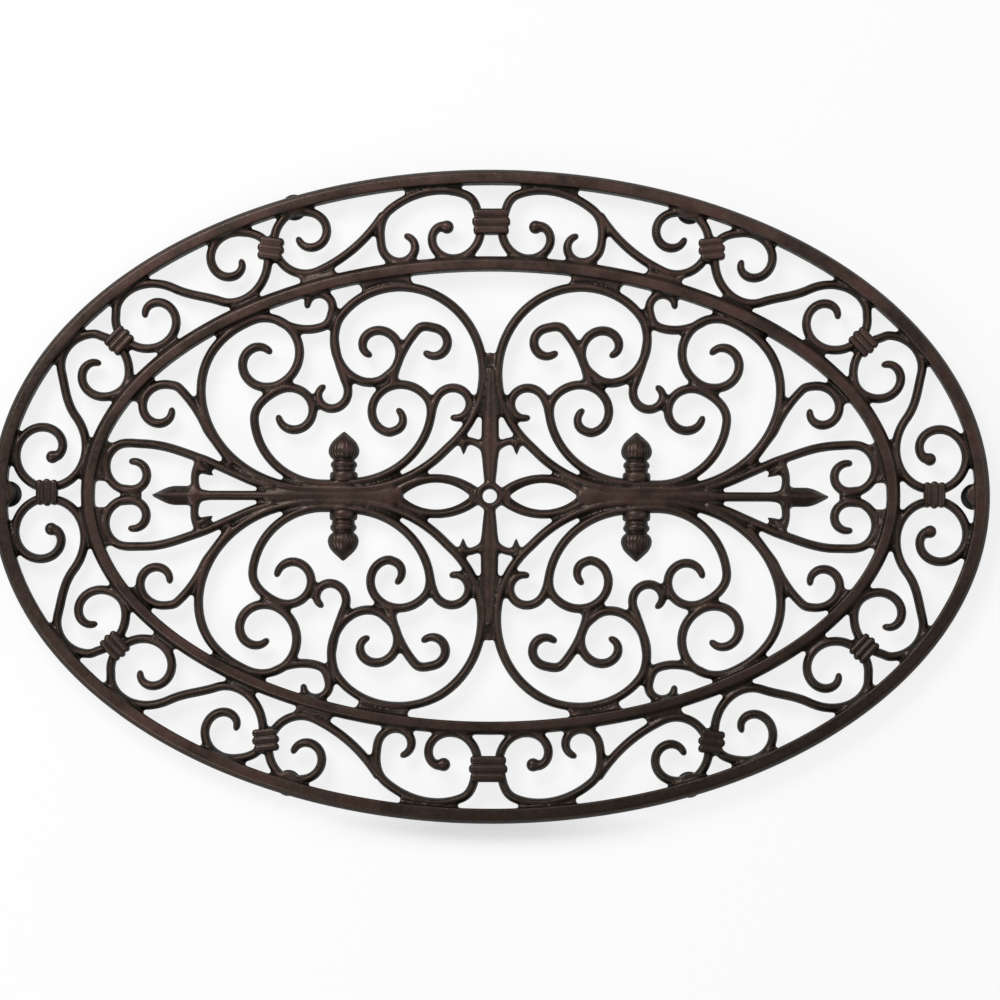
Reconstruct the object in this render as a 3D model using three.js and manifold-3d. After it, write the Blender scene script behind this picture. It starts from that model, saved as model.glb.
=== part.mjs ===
// Oval cast iron door mat: two flat-topped rims, a border and a field of curled scrolls bound by ribbed
// collars, a pierced centre with two spears and four turned finials, all standing on six rubber feet.
// Millimetres. X runs along the mat, Y across it, +Z up. The origin is on the floor under the centre.
// One quarter (+X, +Y) is drawn, and the other three are its mirror images.
import * as THREE from "three";
import { mergeVertices } from "three/addons/utils/BufferGeometryUtils.js";
import Module from "manifold-3d";

const wasm = await Module();
wasm.setup();

// Driving dimensions
const MAT_HALF_LENGTH = 325;
const MAT_HALF_WIDTH = 215;
const OUTER_RIM_WIDTH = 9.7;
const INNER_RIM_HALF_LENGTH = 267;
const INNER_RIM_HALF_WIDTH = 157;
const INNER_RIM_WIDTH = 8.9;
const RIM_BEVEL = 2.7; // plan width of the slope along a rim's inner edge
const RIM_BEVEL_DROP = 3.4;
const EDGE_BREAK = 0.6; // the draft of a rim's outer side
const IRON_BOTTOM = 4;
const RIM_TOP = 16;
const BAR_BOTTOM = 6;
const BAR_TOP = 13.6;
const BAR_WIDTH = 5.7;
const WIDE_BAR_WIDTH = 5.9; // the main scrolls of the field
const COLLAR_TOP = 16.2;
const SEAM = 0.3; // the gap kept between two neighbouring members
const FOOT_RADIUS = 8;
const FOOT_PEG_RADIUS = 1.8;
const FOOT_PEG_TOP = 9;
const LUG_RADIUS = 8.6;
const LUG_TOP = 14.4;
const LUG_BACK = 4; // from the foot's centre out to the lug's flat back
const LUG_BACK_HALF = 6;
const HUB_RADIUS = 9.3;
const HUB_BORE_RADIUS = 4.9;
const HUB_TOP = 14.4;
const FINIAL_X = 95.5;

// How finely a bar is stepped: the most a facet may stray from the curve, the widest turn from one
// facet to the next, and the longest facet
const SAG = 1.3;
const WIDEST_STEP = THREE.MathUtils.degToRad(50);
const LONGEST_STEP = 34;
const RING_STEPS = 52;
const HUB_SIDES = 14;
const LATHE_SIDES = 8;
const SOCKET_SIDES = 6;

const IRON = new THREE.MeshStandardMaterial({ color: 0x40342f, roughness: 0.55, metalness: 0.6 });
const RUBBER = new THREE.MeshStandardMaterial({ color: 0x141414, roughness: 0.85, metalness: 0 });

// Solids

// A closed geometry as a solid that can be joined to others and cut by them.
function solidOf(geometry) {
  const bare = new THREE.BufferGeometry();
  bare.setAttribute("position", geometry.getAttribute("position"));
  if (geometry.index) bare.setIndex(geometry.index);
  const merged = mergeVertices(bare, 1e-4);
  return new wasm.Manifold(
    new wasm.Mesh({
      numProp: 3,
      vertProperties: merged.getAttribute("position").array,
      triVerts: new Uint32Array(merged.index.array),
    }),
  );
}

function geometryOf(solid) {
  const mesh = solid.getMesh();
  const count = mesh.vertProperties.length / mesh.numProp;
  const positions = new Float32Array(count * 3);
  for (let i = 0; i < count; i++) {
    positions.set(mesh.vertProperties.subarray(i * mesh.numProp, i * mesh.numProp + 3), i * 3);
  }
  const geometry = new THREE.BufferGeometry();
  geometry.setAttribute("position", new THREE.BufferAttribute(positions, 3));
  geometry.setIndex(new THREE.BufferAttribute(new Uint32Array(mesh.triVerts), 1));
  return geometry;
}

const joinAll = (solids) => solids.reduce((whole, next) => whole.add(next));
const cutAll = (solid, cutters) => cutters.reduce((left, cutter) => left.subtract(cutter), solid);

// Rings of points, all with the same count, skinned into a closed body: a ring of rings when it is
// looped, and otherwise a bar with flat ends.
function skin(rings, looped) {
  const around = rings[0].length;
  const positions = [];
  const index = [];
  for (const ring of rings) for (const point of ring) positions.push(...point);
  const last = looped ? rings.length : rings.length - 1;
  for (let i = 0; i < last; i++) {
    const here = i * around;
    const next = ((i + 1) % rings.length) * around;
    for (let j = 0; j < around; j++) {
      const k = (j + 1) % around;
      index.push(here + j, here + k, next + k);
      index.push(here + j, next + k, next + j);
    }
  }
  if (!looped) {
    const end = last * around;
    for (let j = 1; j < around - 1; j++) {
      index.push(0, j + 1, j);
      index.push(end, end + j, end + j + 1);
    }
  }
  const geometry = new THREE.BufferGeometry();
  geometry.setAttribute("position", new THREE.BufferAttribute(new Float32Array(positions), 3));
  geometry.setIndex(index);
  const solid = solidOf(geometry);
  if (solid.volume() > 0) return solid;
  for (let i = 0; i < index.length; i += 3) [index[i + 1], index[i + 2]] = [index[i + 2], index[i + 1]];
  geometry.setIndex(index);
  return solidOf(geometry);
}

// An oval ring whose section is a list of [distance in from the edge, height].
function ovalRing(halfLength, halfWidth, section, steps) {
  const rings = [];
  for (let i = 0; i < steps; i++) {
    const angle = (i / steps) * 2 * Math.PI;
    rings.push(
      section.map(([inward, z]) => [
        (halfLength - inward) * Math.cos(angle),
        (halfWidth - inward) * Math.sin(angle),
        z,
      ]),
    );
  }
  return skin(rings, true);
}

function disc(x, y, radius, bottom, top, sides) {
  const profile = [
    new THREE.Vector2(0, bottom),
    new THREE.Vector2(radius, bottom),
    new THREE.Vector2(radius, top),
    new THREE.Vector2(0, top),
  ];
  const lathe = new THREE.LatheGeometry(profile, sides);
  lathe.rotateX(Math.PI / 2);
  lathe.translate(x, y, 0);
  return solidOf(lathe);
}

// Scroll centrelines

// A stretch of scroll that turns about (x, y) from one angle to another, in degrees, while its radius
// runs evenly from one value to the other.
class SpiralArc extends THREE.Curve {
  constructor(x, y, radiusFrom, radiusTo, angleFrom, angleTo) {
    super();
    Object.assign(this, { x, y, radiusFrom, radiusTo });
    this.angleFrom = THREE.MathUtils.degToRad(angleFrom);
    this.angleTo = THREE.MathUtils.degToRad(angleTo);
  }
  getPoint(t, target = new THREE.Vector3()) {
    const radius = THREE.MathUtils.lerp(this.radiusFrom, this.radiusTo, t);
    const angle = THREE.MathUtils.lerp(this.angleFrom, this.angleTo, t);
    return target.set(this.x + radius * Math.cos(angle), this.y + radius * Math.sin(angle), 0);
  }
}
const arc = (...sizes) => new SpiralArc(...sizes);
const onPlan = (x, y) => new THREE.Vector3(x, y, 0);
const line = (x0, y0, x1, y1) => new THREE.LineCurve3(onPlan(x0, y0), onPlan(x1, y1));

// Joins stretches end to end with smooth bends that leave each stretch along its own direction.
function chain(stretches) {
  const REACH = 0.36; // how far each bend's handles run, as a share of its chord
  const joined = [stretches[0]];
  for (let i = 1; i < stretches.length; i++) {
    const from = stretches[i - 1].getPoint(1, new THREE.Vector3());
    const to = stretches[i].getPoint(0, new THREE.Vector3());
    const reach = from.distanceTo(to) * REACH;
    const leave = from.clone().addScaledVector(stretches[i - 1].getTangent(1), reach);
    const arrive = to.clone().addScaledVector(stretches[i].getTangent(0), -reach);
    joined.push(new THREE.CubicBezierCurve3(from, leave, arrive, to), stretches[i]);
  }
  return joined;
}

// Stations along a chain: place, direction and distance run. They stand at equal shares of a count
// that rises faster where the chain curls more tightly, and a little outside the curve there, so that
// the facets between them straddle it.
function stationsOf(curves) {
  const path = new THREE.CurvePath();
  for (const curve of curves) path.add(curve);
  const length = path.getLength();
  const samples = Math.ceil(length);
  const piece = length / samples;
  const wanted = [0];
  for (let i = 0; i < samples; i++) {
    const turn = path.getTangent(i / samples).angleTo(path.getTangent((i + 1) / samples));
    const forSag = Math.sqrt((turn * piece) / (8 * SAG));
    wanted.push(wanted[i] + Math.max(forSag, turn / WIDEST_STEP, piece / LONGEST_STEP));
  }
  const steps = Math.ceil(wanted[samples]);
  const stations = [];
  let i = 0;
  for (let step = 0; step <= steps; step++) {
    const target = (step / steps) * wanted[samples];
    while (i < samples - 1 && wanted[i + 1] < target) i++;
    const t = Math.min(1, (i + (target - wanted[i]) / (wanted[i + 1] - wanted[i])) / samples);
    const before = path.getTangent(i / samples);
    const after = path.getTangent((i + 1) / samples);
    const facet = piece / (wanted[i + 1] - wanted[i]);
    const outwards = before.sub(after).multiplyScalar(facet ** 2 / (16 * piece));
    stations.push({ at: path.getPoint(t).add(outwards), along: path.getTangent(t), run: t * length });
  }
  return stations;
}

// The section of a cast scroll bar: a flat back and strongly drafted sides up to a narrow crown.
function barSection(width, bottom, top) {
  return [
    [-0.5 * width, bottom],
    [0.5 * width, bottom],
    [0.24 * width, top],
    [-0.24 * width, top],
  ];
}

// A web where a bar runs close to a rim: the bar's foot spreads by reach towards the rim, most at
// (x, y) and not at all further off than half its length.
const web = (x, y, length, reach) => ({ middle: onPlan(x, y), half: length / 2, reach });

function spread(webs, at) {
  const near = webs.find(({ middle, half }) => at.distanceTo(middle) < half);
  if (!near) return 0;
  return near.reach * (1 - (at.distanceTo(near.middle) / near.half) ** 2);
}

// A bar along a chain. Its ends are "tip" where it draws down to a rounded point, and "root" where it
// runs into another member. grow makes the fatter copy that cuts the neighbours back.
function bar(curves, options = {}) {
  const { width = BAR_WIDTH, bottom = BAR_BOTTOM, top = BAR_TOP, grow = 0 } = options;
  const { ends = "root tip", webs = [] } = options;
  const TIP_LENGTH = 13;
  const TIP_SHARE = 0.6; // the width left at a tip, before it rounds off
  const ROUND = 1.3;
  const stations = stationsOf(curves);
  const total = stations[stations.length - 1].run;
  const [start, finish] = ends.split(" ");
  const roundOff = ({ at, along, run }, inward) => ({
    at: at.clone().addScaledVector(along, inward * ROUND),
    along,
    run: run + inward * ROUND,
  });
  if (start === "tip") stations.splice(1, 0, roundOff(stations[0], 1));
  if (finish === "tip") stations.splice(-1, 0, roundOff(stations[stations.length - 1], -1));
  const share = (distance) => {
    const drawn = TIP_SHARE + (1 - TIP_SHARE) * Math.min(1, distance / TIP_LENGTH);
    return distance < ROUND / 2 ? drawn * 0.5 : drawn;
  };
  const rings = stations.map(({ at, along, run }) => {
    let size = 1;
    if (start === "tip") size = Math.min(size, share(run));
    if (finish === "tip") size = Math.min(size, share(total - run));
    const lowered = THREE.MathUtils.lerp(bottom, top, 0.45 + 0.55 * size);
    const section = barSection(width * size + 2 * grow, bottom - grow, lowered + grow);
    const foot = spread(webs, at);
    section[foot < 0 ? 0 : 1][0] += foot;
    return section.map(([aside, z]) => [at.x - along.y * aside, at.y + along.x * aside, z]);
  });
  return skin(rings, false);
}

// The rounded knob at the eye of a scroll.
function ball(x, y, radius) {
  const RINGS = 3;
  const height = BAR_TOP - BAR_BOTTOM;
  const profile = [new THREE.Vector2(0, 0)];
  for (let i = 0; i < RINGS; i++) {
    const angle = (i / RINGS) * (Math.PI / 2);
    profile.push(new THREE.Vector2(radius * Math.cos(angle), height * (0.35 + 0.65 * Math.sin(angle))));
  }
  profile.push(new THREE.Vector2(0, height));
  profile.splice(1, 0, new THREE.Vector2(radius * 0.94, 0));
  const lathe = new THREE.LatheGeometry(profile, LATHE_SIDES);
  lathe.rotateX(Math.PI / 2);
  lathe.translate(x, y, BAR_BOTTOM);
  return solidOf(lathe);
}

// Centrelines of one quarter, from the eye or root of each scroll outwards
const CARTOUCHE = chain([
  arc(28.1, 171.6, 7, 22.2, 56, -202),
  arc(6.2, 161, 38.7, 66.3, 74, 24),
  arc(58.6, 164.4, 13.4, 6.4, -3, -260),
]);
const SHOULDER = chain([
  arc(166.8, 225.4, 104, 95.5, -157, -127),
  arc(120.4, 165.4, 19.7, 23.4, -106, 51),
  arc(120, 172.1, 14.7, 7, 86, 345),
]);
const DIAGONAL = chain([
  arc(169.1, 153.4, 3.9, 20.3, -200, 101),
  arc(181.2, 144.2, 39.2, 17.8, 149, 256),
  arc(238.6, 109.7, 40.1, 12.5, 140, 54),
  arc(227.5, 115, 18.6, 18.4, 5, -55),
  arc(221.6, 116.1, 21.6, 4.2, -70, -360),
]);
const SIDE = chain([
  arc(256.4, 80.2, 4.5, 19.2, 102, -136),
  arc(260.8, 80.3, 24, 24, -190, -255),
  arc(261.7, 83, 22.4, 19.6, 95, -9),
  arc(295.1, 20.7, 38.1, 17.2, 129, 250),
  arc(289.7, 28.2, 24.4, 7.6, -75, 215),
]);
const CROWN = chain([
  arc(86.9, 88.3, 83.6, 82.1, -95, -131),
  arc(65.7, 86.6, 66.5, 45.4, -127, -315),
  arc(68.3, 91, 39.1, 13, 33, -89),
  arc(76.1, 96.5, 18.8, 3.8, -133, -430),
]);
const CROWN_SPUR = chain([arc(-6.5, 68.4, 71, 68.1, 8, 37), arc(37.6, 100.1, 10.3, 7.6, 99, 322)]);
const CROWN_DROP = chain([arc(18.6, 114.4, 84.5, 85.2, -8, -23), arc(105.2, 66.9, 12.9, 5.6, 148, 425)]);
const HEART_LEFT = chain([
  arc(83.3, 68.9, 62.1, 48.6, -74, -153),
  arc(61.7, 52.5, 23.4, 11.8, 145, -66),
  arc(64.8, 48.7, 6.6, 9.1, -120, -249),
]);
const HEART_LEAF = chain([line(39.2, 50, 37.8, 57.5), arc(23.2, 59.2, 13.4, 7.4, 12, 293)]);
const HEART_RIGHT = chain([
  line(94, 7.9, 99, 7.8),
  arc(109.7, 54.6, 46.9, 44.9, -92, -7),
  arc(129.8, 54.4, 17.2, 8.7, 60, 353),
]);
const WING = chain([
  arc(138.1, 91.1, 88.4, 42.5, -102, 9),
  arc(148.4, 94.3, 22.4, 23.8, 67, 246),
  arc(149.1, 88.3, 17.5, 6.9, -100, 139),
]);
const WING_HOOK = chain([arc(106.1, 140.4, 42.6, 29.5, -35, -83), arc(113.5, 124.6, 10.2, 6.4, -160, -374)]);
const WING_SPUR = chain([
  line(173, 25.5, 180.5, 36.8),
  arc(263.1, 15.4, 82.6, 80.9, 159, 137),
  arc(214.8, 56.6, 16.6, 5.6, 107, -192),
]);
const END = chain([
  line(160, 14, 204, 29.3),
  arc(228, 12, 23, 23, 113, 74),
  arc(235, 18.6, 16.2, 15.8, 48, -90),
  arc(233.5, 13.8, 10.5, 8, -77, -290),
]);

// The solid members of one quarter, and the fatter copies that cut what touches them
const scroll = (curves, options) => ({
  body: bar(curves, options),
  cutter: bar(curves, { ...options, grow: SEAM }),
});
const cartouche = scroll(CARTOUCHE, { webs: [web(36, 201.2, 46, 3), web(59, 153.4, 26, 4)] });
const shoulder = scroll(SHOULDER, { webs: [web(118, 145.7, 30, -7)] });
const diagonal = scroll(DIAGONAL, { ends: "tip tip", webs: [web(163, 127.5, 24, -9), web(216, 98, 24, 9)] });
const side = scroll(SIDE, { ends: "tip root", webs: [web(278.5, 95, 20, 4)] });
const crown = scroll(CROWN, { width: WIDE_BAR_WIDTH, webs: [web(62, 137, 46, 7)] });
const crownSpur = scroll(CROWN_SPUR, { width: WIDE_BAR_WIDTH });
const crownDrop = scroll(CROWN_DROP);
const heartLeft = scroll(HEART_LEFT);
const heartLeaf = scroll(HEART_LEAF);
const heartRight = scroll(HEART_RIGHT);
const wing = scroll(WING, { width: WIDE_BAR_WIDTH, webs: [web(158, 114.5, 44, -5)] });
const wingHook = scroll(WING_HOOK);
const wingSpur = scroll(WING_SPUR, { webs: [web(225, 67, 22, 6)] });
const end = scroll(END, { webs: [web(251, 23, 34, 9)] });

// The zone taken up by a rim, from one distance in from its edge to another, as a plain upright ring
const CUTTER_TOP = 20;
const zone = (halfLength, halfWidth, from, to) => {
  const section = [
    [from, 0],
    [to, 0],
    [to, CUTTER_TOP],
    [from, CUTTER_TOP],
  ];
  return ovalRing(halfLength, halfWidth, section, RING_STEPS);
};
const outerZone = zone(MAT_HALF_LENGTH, MAT_HALF_WIDTH, -12, OUTER_RIM_WIDTH + SEAM);
const innerZone = zone(INNER_RIM_HALF_LENGTH, INNER_RIM_HALF_WIDTH, -SEAM, INNER_RIM_WIDTH + SEAM);
const rims = [outerZone, innerZone];

// Mirror images of the quarter

// The quarter's own solid, or its image to the left or below.
const mirrored = (solid, sideways, upward) => solid.scale([sideways, upward, 1]);
const QUARTERS = [
  ["upper_right", 1, 1],
  ["upper_left", -1, 1],
  ["lower_left", -1, -1],
  ["lower_right", 1, -1],
];
const inAllQuarters = (solid) => QUARTERS.map(([, sideways, upward]) => mirrored(solid, sideways, upward));

// Rims

// The section of a rim: a flat top, a drafted outer side and a bevel along the inner edge.
const rimSection = (width) => [
  [EDGE_BREAK, RIM_TOP],
  [0, IRON_BOTTOM],
  [width - 0.4, IRON_BOTTOM],
  [width, RIM_TOP - RIM_BEVEL_DROP],
  [width - RIM_BEVEL, RIM_TOP],
];

// The feet stand under the outer rim: one at each end and two on each long side.
const END_FOOT_X = 315.5;
const SIDE_FOOT = [130, 188.8];
const SIDE_FOOT_OUT = { upper_left: 2.2 }; // this foot is set further out, and its edge shows past the rim
const sideFoot = (where, sideways, upward) => {
  const y = SIDE_FOOT[1] + (SIDE_FOOT_OUT[where] ?? 0);
  return [where, [SIDE_FOOT[0] * sideways, y * upward]];
};
const FEET = [
  ["right", [END_FOOT_X, 0]],
  ["left", [-END_FOOT_X, 0]],
  ...QUARTERS.map((quarter) => sideFoot(...quarter)),
];

// A lug is the half disc of iron that widens the rim inwards over a foot. Its flat back lies inside
// the rim.
function lug([x, y]) {
  const outwards = Math.atan2(y / MAT_HALF_WIDTH ** 2, x / MAT_HALF_LENGTH ** 2);
  const outline = new THREE.Shape();
  outline.absarc(0, 0, LUG_RADIUS, Math.PI / 2, (3 * Math.PI) / 2, false);
  outline.lineTo(LUG_BACK, -LUG_BACK_HALF);
  outline.lineTo(LUG_BACK, LUG_BACK_HALF);
  outline.closePath();
  const block = new THREE.ExtrudeGeometry(outline, {
    depth: LUG_TOP - IRON_BOTTOM,
    bevelEnabled: false,
    curveSegments: 5,
  });
  block.rotateZ(outwards);
  block.translate(x, y, IRON_BOTTOM);
  return solidOf(block);
}

function outerRim() {
  const ring = ovalRing(MAT_HALF_LENGTH, MAT_HALF_WIDTH, rimSection(OUTER_RIM_WIDTH), RING_STEPS);
  const lugs = joinAll(FEET.map(([, place]) => lug(place)));
  const channels = inAllQuarters(shoulder.cutter);
  const sockets = FEET.map(([, [x, y]]) =>
    disc(x, y, FOOT_PEG_RADIUS + SEAM, IRON_BOTTOM - 1, FOOT_PEG_TOP + SEAM, SOCKET_SIDES),
  );
  return cutAll(ring.add(cutAll(lugs, channels)), sockets);
}

function innerRim() {
  return ovalRing(INNER_RIM_HALF_LENGTH, INNER_RIM_HALF_WIDTH, rimSection(INNER_RIM_WIDTH), RING_STEPS);
}

function rubberFoot([x, y]) {
  const CHAMFER = 0.8;
  const top = IRON_BOTTOM - SEAM;
  const profile = [
    new THREE.Vector2(0, 0),
    new THREE.Vector2(FOOT_RADIUS - CHAMFER, 0),
    new THREE.Vector2(FOOT_RADIUS, CHAMFER),
    new THREE.Vector2(FOOT_RADIUS, top),
    new THREE.Vector2(FOOT_PEG_RADIUS, top),
    new THREE.Vector2(FOOT_PEG_RADIUS, FOOT_PEG_TOP),
    new THREE.Vector2(0, FOOT_PEG_TOP),
  ];
  const lathe = new THREE.LatheGeometry(profile, LATHE_SIDES);
  lathe.rotateX(Math.PI / 2);
  lathe.translate(x, y, 0);
  return solidOf(lathe);
}

// Collars

// A collar is a clasp of ribs laid side by side over two bars, open below where the bars lie in it.
// x and y are its centre, length runs along the ribs, pitch is a rib's width and turn is the direction
// of the ribs. Its ends are scalloped, because each groove is shorter than the ribs beside it.
function collar(x, y, length, ribs, pitch, turn, bars) {
  const GROOVE = 1.3;
  const CREST = 0.3; // half the flat on a rib, as a share of the pitch
  const width = ribs * pitch;
  const section = [
    [-width / 2, BAR_BOTTOM, 0],
    [width / 2, BAR_BOTTOM, 0],
    [width / 2, COLLAR_TOP - 2 * GROOVE, GROOVE],
  ];
  for (let i = ribs - 1; i >= 0; i--) {
    const middle = (i - (ribs - 1) / 2) * pitch;
    section.push([middle + CREST * pitch, COLLAR_TOP, GROOVE * 0.8]);
    section.push([middle - CREST * pitch, COLLAR_TOP, GROOVE * 0.8]);
    if (i > 0) section.push([middle - pitch / 2, COLLAR_TOP - GROOVE, GROOVE * 1.5]);
  }
  section.push([-width / 2, COLLAR_TOP - 2 * GROOVE, GROOVE]);
  const rings = [-1, 1].map((end) =>
    section.map(([aside, z, short]) => {
      const along = end * (length / 2 - short);
      return [
        x + along * Math.cos(turn) - aside * Math.sin(turn),
        y + along * Math.sin(turn) + aside * Math.cos(turn),
        z,
      ];
    }),
  );
  return cutAll(skin(rings, false), bars);
}

// Centre

// A turned finial, split in half lengthwise so that it lies flat on its back. It stands on the waist
// and points across the mat.
function finial(x) {
  // [radius, distance along]: the base collar, neck, bead, neck and pointed bud
  const PROFILE = [
    [0, 8.6],
    [9.1, 8.6],
    [9, 15.4],
    [7, 17],
    [8.7, 20.5],
    [6.9, 24],
    [10.2, 29.8],
    [9, 34.1],
    [4.8, 38.2],
    [0, 42.4],
  ];
  const lathe = new THREE.LatheGeometry(
    PROFILE.map(([radius, along]) => new THREE.Vector2(radius, along)),
    LATHE_SIDES,
  );
  lathe.translate(x, 0, BAR_BOTTOM);
  const bench = new THREE.BoxGeometry(60, 120, 40);
  bench.translate(x, 0, BAR_BOTTOM - 20);
  return solidOf(lathe).subtract(solidOf(bench));
}

const PETAL_WIDTH = 5.2;
const petal = (sideways, upward, grow = 0) => {
  const arcAngles = sideways > 0 ? [128, 55] : [52, 125];
  const [from, to] = upward > 0 ? arcAngles : arcAngles.map((angle) => -angle);
  return bar([arc(35 * sideways, -31.5 * upward, 43.3, 43.3, from, to)], {
    width: PETAL_WIDTH,
    ends: "root root",
    grow,
  });
};
const everyPetal = (grow) => [1, -1].flatMap((s) => [petal(s, 1, grow), petal(s, -1, grow)]);

// A recessed plate under the bars, which closes the narrow gaps between them. Its outline is a list of
// [distance along, half width] from one end to the other.
function plate(outline, turn) {
  const shape = new THREE.Shape();
  outline.forEach(([along, half], i) => (i ? shape.lineTo(along, half) : shape.moveTo(along, half)));
  [...outline].reverse().forEach(([along, half]) => shape.lineTo(along, -half));
  shape.closePath();
  const depth = BAR_BOTTOM - SEAM - IRON_BOTTOM;
  const flat = new THREE.ExtrudeGeometry(shape, { depth, bevelEnabled: false });
  flat.rotateZ(turn);
  flat.translate(0, 0, IRON_BOTTOM);
  return solidOf(flat);
}

const STEM_PLATE = [
  [47, 5],
  [56, 7.5],
  [86, 7.5],
  [93, 4.5],
];

// The ridged stem that rises from the hub between the two crown scrolls. Each entry is the half width,
// the distance along and the underside.
const STEM_OUTLINE = [
  [3.2, 8, BAR_BOTTOM],
  [4.1, 17, BAR_BOTTOM],
  [5.4, 29, BAR_BOTTOM],
  [5.3, 50, IRON_BOTTOM],
  [4.4, 64, IRON_BOTTOM],
  [3.2, 78, IRON_BOTTOM],
  [2, 90, IRON_BOTTOM],
];
const STEM_RISE = 0.4; // how far the stem's ridge stands above the bars

// The stem with its plate, the two arms that curve out of it into the crown scrolls, and the thorn
// that points back from the end of each arm.
function stem(upward) {
  const rings = STEM_OUTLINE.map(([halfWidth, y, bottom]) =>
    barSection(2 * halfWidth, bottom, BAR_TOP + STEM_RISE).map(([aside, z]) => [aside, y * upward, z]),
  );
  const turn = (upward * Math.PI) / 2;
  const arm = bar([arc(15, 22, 14.3, 14.3, 150, 72)], { width: 4.8, top: 12.6, ends: "root root" });
  const thorn = bar([line(16.6, 36, 17, 27.6)], { width: 4.6, top: 12, ends: "root tip" });
  const right = mirrored(arm.add(thorn), 1, upward);
  return joinAll([skin(rings, false), right, mirrored(right, -1, 1), plate(STEM_PLATE, turn)]);
}

function hub() {
  const profile = [
    [HUB_BORE_RADIUS, BAR_BOTTOM],
    [HUB_RADIUS, BAR_BOTTOM],
    [HUB_RADIUS, HUB_TOP - 2],
    [HUB_RADIUS - 1.4, HUB_TOP],
    [HUB_BORE_RADIUS + 0.8, HUB_TOP],
    [HUB_BORE_RADIUS, HUB_TOP - 1.4],
    [HUB_BORE_RADIUS, BAR_BOTTOM],
  ];
  const lathe = new THREE.LatheGeometry(
    profile.map(([radius, z]) => new THREE.Vector2(radius, z)),
    HUB_SIDES,
  );
  lathe.rotateX(Math.PI / 2);
  return solidOf(lathe);
}

// The bar through the waist, which runs out as a spear. Two arms curve from the root of its head into
// the end scrolls, each with a thorn that points back. Each entry is the distance along, the half width
// and the underside.
const WAIST_OUTLINE = [
  [56, 2.6, IRON_BOTTOM],
  [70, 4, IRON_BOTTOM],
  [96, 4.4, IRON_BOTTOM],
  [120, 3.9, IRON_BOTTOM],
  [150, 2.9, BAR_BOTTOM],
];
const SPEAR_OUTLINE = [
  [185, 2.9, BAR_BOTTOM],
  [189.5, 4, BAR_BOTTOM],
  [194, 6.4, BAR_BOTTOM],
  [206, 6.4, BAR_BOTTOM],
  [211, 5.1, BAR_BOTTOM],
  [216.5, 2.6, BAR_BOTTOM],
  [220.6, 0.6, BAR_BOTTOM],
];
const WAIST_PLATE = [
  [53, 3.5],
  [60, 9],
  [72, 8],
  [104, 8],
  [118, 9],
  [129, 9],
  [137, 6.5],
  [147, 4],
];
function spear(sideways) {
  const rings = [...WAIST_OUTLINE, ...SPEAR_OUTLINE].map(([x, halfWidth, bottom]) =>
    barSection(2 * halfWidth, bottom, BAR_TOP).map(([aside, z]) => [x * sideways, aside, z]),
  );
  const turn = sideways > 0 ? 0 : Math.PI;
  const arm = bar([arc(170.7, 11, 22.1, 22.1, -27, 31)], { width: 5.4, top: 12.8, ends: "root root" });
  const thorn = bar([line(190, 18.4, 180.2, 13.4)], { width: 5, top: 12, ends: "root tip" });
  const upper = mirrored(arm.add(thorn), sideways, 1);
  return joinAll([skin(rings, false), upper, mirrored(upper, 1, -1), plate(WAIST_PLATE, turn)]);
}

// Members of the quarter

// Each member is cut back where it meets one that runs through.
const waistCutter = skin(
  WAIST_OUTLINE.map(([x, halfWidth]) => {
    const half = halfWidth + SEAM;
    return [[-half, 0], [half, 0], [half, 30], [-half, 30]].map(([y, z]) => [x, y, z]);
  }),
  false,
);
const heartCutters = [heartLeft.cutter, heartRight.cutter, heartLeaf.cutter];
const crownCutters = [crown.cutter, crownSpur.cutter, crownDrop.cutter];
const wingCutters = [wing.cutter, wingHook.cutter, wingSpur.cutter];

const CORNER_TURN = THREE.MathUtils.degToRad(-47);
const SHOULDER_TURN = THREE.MathUtils.degToRad(7);
const quarterMembers = {
  cartouche_scroll: cutAll(joinAll([cartouche.body, ball(29, 176.6, 4.5)]), rims),
  shoulder_scroll: cutAll(shoulder.body, [cartouche.cutter, diagonal.cutter, ...rims]),
  diagonal_scroll: cutAll(diagonal.body, rims),
  side_scroll: cutAll(joinAll([side.body, ball(286.3, 23.7, 3.7)]), [diagonal.cutter, ...rims]),
  heart_scroll: cutAll(joinAll([heartLeft.body, heartRight.body, heartLeaf.body]), [waistCutter, innerZone]),
  crown_scroll: cutAll(joinAll([crown.body, crownSpur.body, crownDrop.body]), [
    ...heartCutters,
    waistCutter,
    innerZone,
  ]),
  wing_scroll: cutAll(joinAll([wing.body, wingHook.body, wingSpur.body]), [
    ...heartCutters,
    ...crownCutters,
    waistCutter,
    innerZone,
  ]),
  end_scroll: cutAll(end.body, [...wingCutters, innerZone]),
  finial: cutAll(finial(FINIAL_X), heartCutters),
  shoulder_collar: collar(144.4, 161.4, 17.5, 3, 5, SHOULDER_TURN, [shoulder.cutter, diagonal.cutter]),
  corner_collar: collar(243.2, 100.4, 18, 3, 4.4, CORNER_TURN, [diagonal.cutter, side.cutter]),
};

const members = [];
const add = (name, solid, material = IRON) => members.push({ name, solid, material });

add("outer_rim", outerRim());
add("inner_rim", innerRim());
for (const [name, solid] of Object.entries(quarterMembers)) {
  for (const [where, sideways, upward] of QUARTERS) {
    add(name + "_" + where, mirrored(solid, sideways, upward));
  }
}
const cartouches = inAllQuarters(cartouche.cutter);
const sides = inAllQuarters(side.cutter);
const topCollar = collar(0, 179.6, 25, 3, 5.6, 0, cartouches);
const rightCollar = collar(289, 0, 19, 3, 4.7, Math.PI / 2, sides);
add("axis_collar_top", topCollar);
add("axis_collar_bottom", mirrored(topCollar, 1, -1));
add("axis_collar_right", rightCollar);
add("axis_collar_left", mirrored(rightCollar, -1, 1));

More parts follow.
